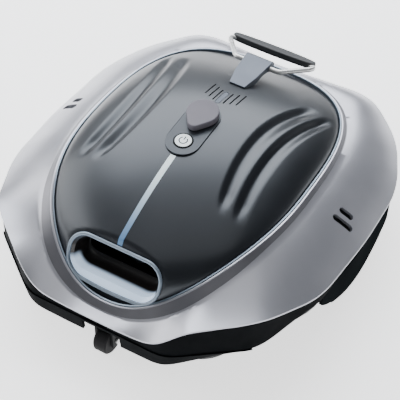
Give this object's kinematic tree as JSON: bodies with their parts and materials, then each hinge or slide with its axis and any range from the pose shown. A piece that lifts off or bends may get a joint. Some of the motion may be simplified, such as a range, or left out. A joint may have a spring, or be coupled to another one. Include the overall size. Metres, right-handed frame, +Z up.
{
  "type": "pool cleaner robot",
  "caption": "Cordless pool cleaning robot: oval domed lid in a silver shell, front jet outlet, drive wheels under side covers, bail handle, power button and charging cap.",
  "frame": {"origin": "centre of the bounding box on the floor, under the wheels", "axes": "+Z up, front with the jet outlet towards -Y, +X to the right seen from the front"},
  "size_m": [0.372, 0.396, 0.1659],
  "materials": {
    "dome": "high gloss",
    "shell": "satin metallic paint",
    "skirt": "fine texture",
    "cover": "satin",
    "trim": "satin metallic paint",
    "chassis": "moulded",
    "dark": "moulded",
    "plate": "high gloss",
    "cap": "matte",
    "rubber": "matte",
    "light": "light guide",
    "button": "lit, satin",
    "scoop": "satin",
    "steel": "satin",
    "tongue": "satin metallic paint",
    "grip": "satin",
    "tyre": "ribbed",
    "hub": "satin",
    "brass": "turned",
    "gear": "moulded",
    "mesh": "woven",
    "basket": "moulded",
    "board": "solder mask",
    "motor": "drawn can",
    "cell": "shrink sleeve"
  },
  "bodies": {
    "base": {"chassis_tub": "chassis", "deck_screws": "steel", "skirt": "skirt", "bumper_lip": "skirt", "wheel_cover_right": "cover", "wheel_cover_left": "cover", "top_shell": "shell", "flank_vent_right": "dark", "flank_vent_left": "dark", "rim_bezel": "trim", "dome_gasket": "rubber", "dome_cover": "dome", "light_strip": "light", "indicator_window": "light", "control_plate": "plate", "button_boot": "rubber", "button_switch": "dark", "charge_socket": "dark", "charge_pins": "brass", "outlet_ring": "trim", "outlet_duct": "dark", "jet_scoop": "scoop", "pump_housing": "chassis", "pump_motor": "motor", "battery_cells": "cell", "battery_case": "dark", "control_board": "board", "filter_basket": "basket", "filter_mesh": "mesh", "axle_bush_right": "brass", "axle_bush_left": "brass", "gear_motor_right": "motor", "gear_motor_left": "motor", "roller_fork_front": "dark", "roller_fork_rear": "dark", "roller_axle_front": "steel", "roller_axle_rear": "steel", "handle_tongue": "tongue"},
    "door": {"filter_door": "chassis", "door_hinge_pins": "steel"},
    "flap_front": {"inlet_flap_front": "rubber"},
    "flap_rear": {"inlet_flap_rear": "rubber"},
    "latch": {"door_latch": "cover"},
    "button": {"power_button": "button"},
    "cap": {"charging_cap": "cap"},
    "bail": {"handle_bail": "steel", "handle_grip": "grip"},
    "wheel_right": {"wheel_hub_right": "hub", "wheel_tyre_right": "tyre", "wheel_axle_right": "steel", "drive_gear_right": "gear"},
    "wheel_left": {"wheel_hub_left": "hub", "wheel_tyre_left": "tyre", "wheel_axle_left": "steel", "drive_gear_left": "gear"},
    "pinion_right": {"motor_pinion_right": "brass"},
    "pinion_left": {"motor_pinion_left": "brass"},
    "front_roller": {"roller_front": "rubber"},
    "rear_roller": {"roller_rear": "rubber"},
    "pump_rotor": {"impeller": "gear"}
  },
  "joints": [
    {"name": "power_button_press", "type": "slide", "parent": "base", "child": "button", "axis": [0, 0.0663, -0.9978], "range_m": [0, 0.0012], "stiffness_N_per_m": 400, "springref_m": -0.0005},
    {"name": "charging_cap_pull", "type": "slide", "parent": "base", "child": "cap", "axis": [0, -0.0663, 0.9978], "range_m": [0, 0.014]},
    {"name": "handle_bail_swing", "type": "hinge", "parent": "base", "child": "bail", "pos_m": [0, 0.1245, 0.1415], "axis": [1, 0, 0], "range_deg": [0, 95]},
    {"name": "wheel_right_spin", "type": "hinge", "parent": "base", "child": "wheel_right", "pos_m": [0.152, 0.022, 0.04], "axis": [1, 0, 0], "continuous": true},
    {"name": "wheel_left_spin", "type": "hinge", "parent": "base", "child": "wheel_left", "pos_m": [-0.152, 0.022, 0.04], "axis": [1, 0, 0], "continuous": true},
    {"name": "pinion_right_spin", "type": "hinge", "parent": "base", "child": "pinion_right", "pos_m": [0.096, 0.022, 0.059], "axis": [1, 0, 0], "continuous": true},
    {"name": "pinion_left_spin", "type": "hinge", "parent": "base", "child": "pinion_left", "pos_m": [-0.096, 0.022, 0.059], "axis": [1, 0, 0], "continuous": true},
    {"name": "roller_front_spin", "type": "hinge", "parent": "base", "child": "front_roller", "pos_m": [0.006, -0.181, 0.017], "axis": [1, 0, 0], "continuous": true},
    {"name": "roller_rear_spin", "type": "hinge", "parent": "base", "child": "rear_roller", "pos_m": [-0.006, 0.181, 0.017], "axis": [1, 0, 0], "continuous": true},
    {"name": "impeller_spin", "type": "hinge", "parent": "base", "child": "pump_rotor", "pos_m": [0, -0.032, 0.09], "axis": [0, 0, 1], "continuous": true},
    {"name": "filter_door_swing", "type": "hinge", "parent": "base", "child": "door", "pos_m": [0, 0.118, 0.0229], "axis": [1, 0, 0], "range_deg": [0, 80]},
    {"name": "door_latch_slide", "type": "slide", "parent": "door", "child": "latch", "axis": [0, -1, 0], "range_m": [0, 0.0035]},
    {"name": "inlet_flap_front_swing", "type": "hinge", "parent": "door", "child": "flap_front", "pos_m": [0, -0.0765, 0.0243], "axis": [1, 0, 0], "range_deg": [0, 55]},
    {"name": "inlet_flap_rear_swing", "type": "hinge", "parent": "door", "child": "flap_rear", "pos_m": [0, 0.0765, 0.0243], "axis": [-1, 0, 0], "range_deg": [0, 55]}
  ],
  "couplings": [
    {"joint": "pinion_right_spin", "follows": "wheel_right_spin", "ratio": -2},
    {"joint": "pinion_left_spin", "follows": "wheel_left_spin", "ratio": -2}
  ]
}
